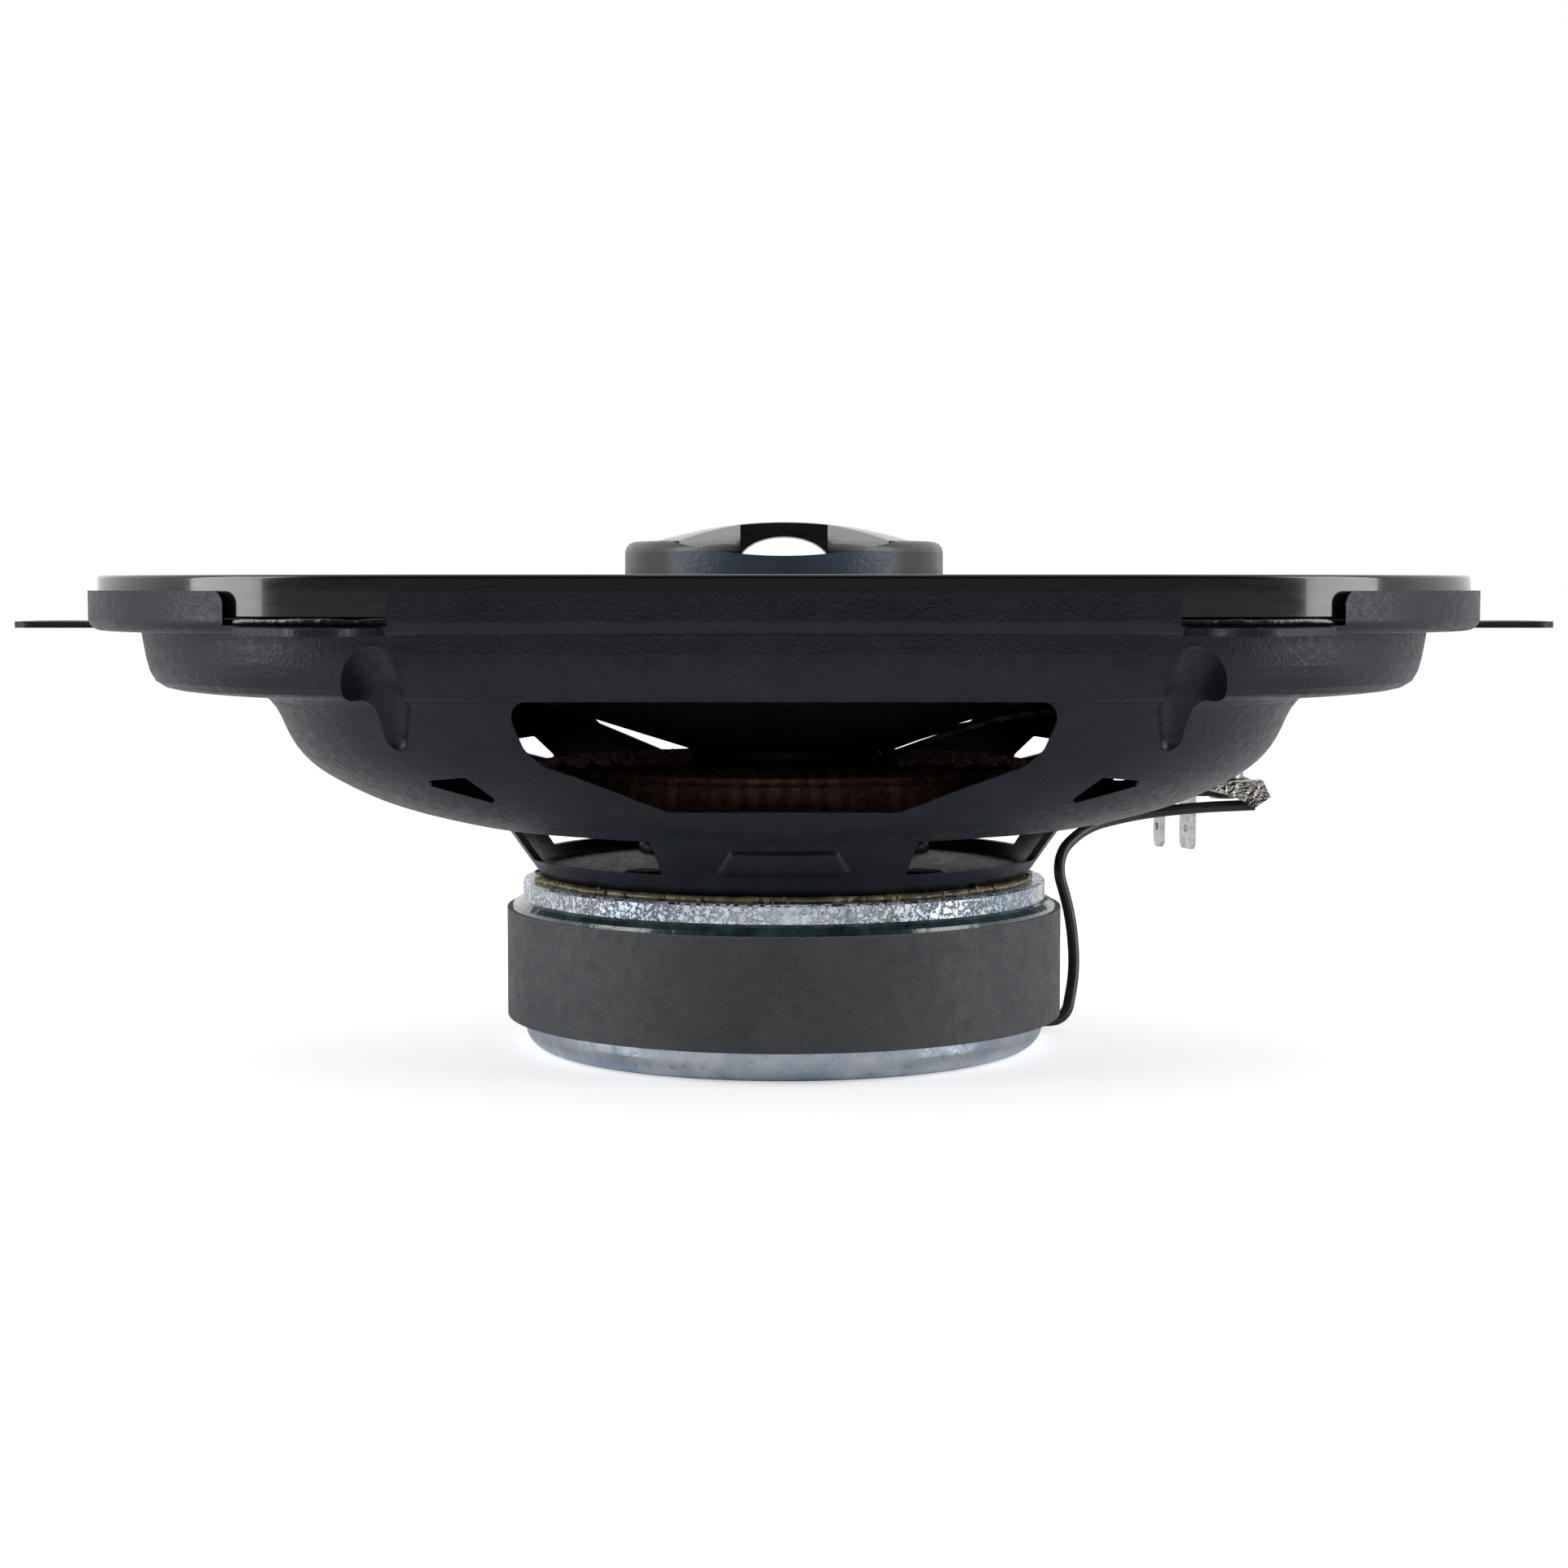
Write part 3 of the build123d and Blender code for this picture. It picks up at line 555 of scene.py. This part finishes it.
def spider_profile():
    """(radius, height) down the middle of the spider's cloth."""
    low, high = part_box("spider")
    outer = high.x
    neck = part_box("voice_coil_former")[1].x
    level = high.z - 1.25 * MM
    line = [(neck + 0.1 * MM, level + 0.2 * MM)]
    steps = SPIDER_ROLLS * 14
    for i in range(steps + 1):
        t = i / steps
        radius = NECK_ROLL_R + (OUTER_ROLL_R - NECK_ROLL_R) * t
        line.append((radius, level + 0.95 * MM * math.sin(t * SPIDER_ROLLS * 2 * math.pi)))
    foot = low.z + 0.3 * MM
    for t in (0.2, 0.45, 0.7, 0.92):
        line.append((OUTER_ROLL_R + (0.2 + 0.75 * t) * MM, level + (foot - level) * t))
    line += [(OUTER_ROLL_R + 1.3 * MM, foot), (outer - 0.2 * MM, foot)]
    return line


def make_spider():
    """Corrugated cloth cup with uneven threads."""
    line = spider_profile()
    section = thick_line(line, 0.2 * MM)
    columns = 720
    pitch = 0.21 * MM
    points = []
    for r, z in section:
        for j in range(columns):
            a = 2 * math.pi * j / columns
            x, y = r * math.cos(a), r * math.sin(a)
            fluff = 0.10 * MM * noise.noise(Vector((x, y, z)) * 1400)
            weave = 0.05 * MM * math.sin(x / pitch) * math.sin(y / pitch)
            points.append((x, y, z + fluff + weave))
    piece = mesh_piece("spider_cup", points, ring_faces(len(section), columns, True), "spider_cloth")
    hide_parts("spider")
    return blended(piece)


def node_mesh(node):
    """Points and faces of a CAD node, in the row frame."""
    source = nodes[node]
    points = [source.matrix_world @ v.co for v in source.data.vertices]
    faces = [tuple(p.vertices) for p in source.data.polygons]
    return points, faces


def make_flexible_leads():
    """The two braids, from the neck on the cone to the board on the frame."""
    points, faces = node_mesh("flexible_leads")
    piece = mesh_piece("lead_braids", points, faces, "lead_braid")
    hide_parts("flexible_leads")
    return blended(piece)


def make_dome_roll():
    """The tweeter's suspension, between the frame outside and the dome inside."""
    points, faces = node_mesh("tweeter_dome_roll")
    piece = mesh_piece("dome_suspension", points, faces, "dome_roll_film")
    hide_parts("tweeter_dome_roll")
    return blended(piece)


def bead(name, path, columns, sizes, slot, sides=12):
    """A lumpy closed bead along path(share), with sizes(share) giving its half width and height."""
    points = []
    for side in range(sides):
        a = 2 * math.pi * side / sides
        for j in range(columns):
            share = j / columns
            centre, outward = path(share)
            wide, tall = sizes(share)
            across = outward * (wide * math.cos(a))
            points.append((centre.x + across.x, centre.y + across.y, centre.z + tall * math.sin(a)))
    return mesh_piece(name, points, ring_faces(sides, columns, True), slot, "frame")


def make_seat_bead():
    """Tan adhesive squeezed out between the seat and the top plate, with bubbles and gaps."""
    low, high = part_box("seat_adhesive")
    middle = (low.z + high.z) / 2
    radius = high.x

    def path(share):
        a = 2 * math.pi * share
        outward = Vector((math.cos(a), math.sin(a), 0))
        lump = 0.5 * MM * noise.noise(Vector((outward.x * 9, outward.y * 9, 1.3)))
        centre = outward * (radius + lump)
        return Vector((centre.x, centre.y, middle)), outward

    def sizes(share):
        a = 2 * math.pi * share
        fine = noise.noise(Vector((math.cos(a) * 28, math.sin(a) * 28, 4.7)))
        coarse = noise.noise(Vector((math.cos(a) * 6, math.sin(a) * 6, 8.1)))
        wide = (0.75 + 0.45 * fine + 0.45 * coarse) * MM
        return max(0.08 * MM, wide), (0.40 + 0.20 * fine) * MM

    bead("seat_bead", path, 900, sizes, "amber_glue")


def make_seat_bubbles():
    """Small round blisters standing on the tan bead."""
    low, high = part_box("seat_adhesive")
    rng = random.Random(7)
    points = []
    faces = []
    rows = 7
    columns = 12
    for _ in range(150):
        a = rng.uniform(0, 2 * math.pi)
        size = rng.uniform(0.16, 0.42) * MM
        centre = Vector((math.cos(a), math.sin(a), 0)) * (high.x + rng.uniform(0.1, 0.7) * MM)
        centre.z = rng.uniform(low.z + 0.1 * MM, high.z)
        base = len(points)
        for i in range(rows):
            tilt = math.pi * (i + 0.5) / rows
            for j in range(columns):
                turn = 2 * math.pi * j / columns
                wide = math.sin(tilt)
                away = Vector((wide * math.cos(turn), wide * math.sin(turn), math.cos(tilt)))
                points.append(centre + away * size)
        faces += [tuple(base + k for k in quad) for quad in ring_faces(rows, columns)]
        faces.append(tuple(base + k for k in range(columns)))
        faces.append(tuple(base + (rows - 1) * columns + k for k in reversed(range(columns))))
    mesh_piece("seat_bubbles", points, faces, "amber_glue", "frame")


def make_edge_bead():
    """Wavy black adhesive at the gasket's foot, seen through the rim wall's notches."""
    low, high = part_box("gasket_ring")
    columns = 1400

    def path(share):
        inset = 1.75 * MM
        here = rim_point(inset, share)
        outer = rim_point(inset - 1.0 * MM, share)
        outward = (outer - here).normalized()
        wave = 0.45 * MM * noise.noise(Vector((here.x, here.y, 0.0)) * 150)
        return Vector((here.x, here.y, low.z - 0.70 * MM + 0.5 * wave)), Vector((outward.x, outward.y, 0))

    def sizes(share):
        here = rim_point(1.0 * MM, share)
        swell = noise.noise(Vector((here.x, here.y, 0.3)) * 260)
        return (0.62 + 0.25 * swell) * MM, (0.55 + 0.25 * swell) * MM

    bead("edge_bead", path, columns, sizes, "black_glue")


def make_tier_emboss():
    """Shallow stamped trapezoids on both long sides of the lower tier."""
    foot = Vector((36.94 * MM, 0, 27.3 * MM))
    head = Vector((39.84 * MM, 0, 31.4 * MM))
    across = 60
    up = 16
    for side, name in ((-1, "tier_emboss_front"), (1, "tier_emboss_rear")):
        points = []
        for i in range(up + 1):
            t = i / up
            ring = foot.lerp(head, t)
            half = math.radians(15.0 - 4.5 * t)
            for j in range(across + 1):
                u = 2 * j / across - 1
                edge = min(1 - abs(u), 0.16) / 0.16
                rise = eased(edge) * eased(min(t, 1 - t, 0.25) / 0.25)
                radius = ring.x - 0.12 * MM + 0.85 * MM * rise
                a = side * math.pi / 2 + u * half
                points.append((radius * math.cos(a), radius * math.sin(a), ring.z))
        faces = []
        for i in range(up):
            for j in range(across):
                k = i * (across + 1) + j
                faces.append((k, k + 1, k + across + 2, k + across + 1))
        mesh_piece(name, points, faces, "powder_coat", "frame")


# ---------------------------------------------------------------- stage


def make_stage():
    """Pale floor under the magnet, dimmer in reflections than it looks."""
    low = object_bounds()[0]
    size = 60.0
    steps = 8
    points = []
    for i in range(steps + 1):
        for j in range(steps + 1):
            points.append(((i / steps - 0.5) * size, (j / steps - 0.5) * size, low.z - 0.0002))
    faces = []
    for i in range(steps):
        for j in range(steps):
            a = i * (steps + 1) + j
            faces.append((a, a + steps + 1, a + steps + 2, a + 1))
    mesh = bpy.data.meshes.new("floor")
    mesh.from_pydata(points, [], faces)
    s = Surface("floor_paper", (0.93, 0.93, 0.94), 0.9, Specular_IOR_Level=0.1)
    s.colour_from(s.ramp(s.noise(0.2, 2.0), [(0.3, (0.92, 0.92, 0.93)), (0.7, (0.95, 0.95, 0.95))]))
    s.set("Emission Color", (1.0, 1.0, 1.0, 1.0))
    seen = s.add("ShaderNodeLightPath").outputs["Is Camera Ray"]
    s.link(s.math("MULTIPLY", seen, 0.55), s.shader.inputs["Emission Strength"])
    mesh.materials.append(s.material)
    floor = bpy.data.objects.new("floor", mesh)
    bpy.context.scene.collection.objects.link(floor)


def add_area_light(name, place, target, size, power, colour):
    """A rectangular lamp at a place, facing a target."""
    light = bpy.data.lights.new(name, "AREA")
    light.shape = "RECTANGLE"
    light.size, light.size_y = size
    light.energy = power
    light.color = colour
    lamp = bpy.data.objects.new(name, light)
    bpy.context.scene.collection.objects.link(lamp)
    lamp.location = place
    lamp.rotation_euler = (Vector(target) - Vector(place)).to_track_quat("-Z", "Y").to_euler()


def make_world():
    """A white tent with a dark gap on the side that the front faces."""
    world = bpy.data.worlds.new("tent")
    bpy.context.scene.world = world
    world.use_nodes = True
    tree = world.node_tree
    background = tree.nodes["Background"]
    coordinates = tree.nodes.new("ShaderNodeTexCoord")
    split = tree.nodes.new("ShaderNodeSeparateXYZ")
    ramp = tree.nodes.new("ShaderNodeMapRange")
    ramp.inputs["From Min"].default_value = -0.60
    ramp.inputs["From Max"].default_value = 0.35
    ramp.inputs["To Min"].default_value = 0.02
    ramp.inputs["To Max"].default_value = 0.95
    path = tree.nodes.new("ShaderNodeLightPath")
    strongest = tree.nodes.new("ShaderNodeMath")
    strongest.operation = "MAXIMUM"
    tree.links.new(coordinates.outputs["Generated"], split.inputs["Vector"])
    tree.links.new(split.outputs["Y"], ramp.inputs["Value"])
    tree.links.new(ramp.outputs["Result"], strongest.inputs[0])
    tree.links.new(path.outputs["Is Camera Ray"], strongest.inputs[1])
    tree.links.new(strongest.outputs["Value"], background.inputs["Strength"])
    background.inputs["Color"].default_value = (1, 1, 1, 1)


def make_lights():
    """Soft boxes at both sides, a little in front."""
    target = (0, 0, 0.04)
    for name, x in (("box_left", -0.75), ("box_right", 0.75)):
        add_area_light(name, (x, -0.22, 0.20), target, (0.35, 0.9), 5.0, (0.95, 0.97, 1.0))


def make_camera():
    """Long lens at rim level, square to the long side."""
    camera = bpy.data.cameras.new("camera")
    camera.sensor_width = 36.0
    camera.lens = 63.7
    camera.clip_start = 0.01
    eye = bpy.data.objects.new("camera", camera)
    bpy.context.scene.collection.objects.link(eye)
    eye.location = (0.0, -0.400, 0.0657)
    pitch = math.radians(4.08)
    eye.rotation_euler = (math.pi / 2 - pitch, 0, 0)
    bpy.context.scene.camera = eye


# ---------------------------------------------------------------- build


make_camera()
make_world()
make_lights()
make_stage()
dress_cad_nodes()
make_surround()
make_spider()
make_flexible_leads()
make_dome_roll()
make_seat_bead()
make_seat_bubbles()
make_edge_bead()
make_tier_emboss()

scene = bpy.context.scene
scene.view_settings.view_transform = "Standard"
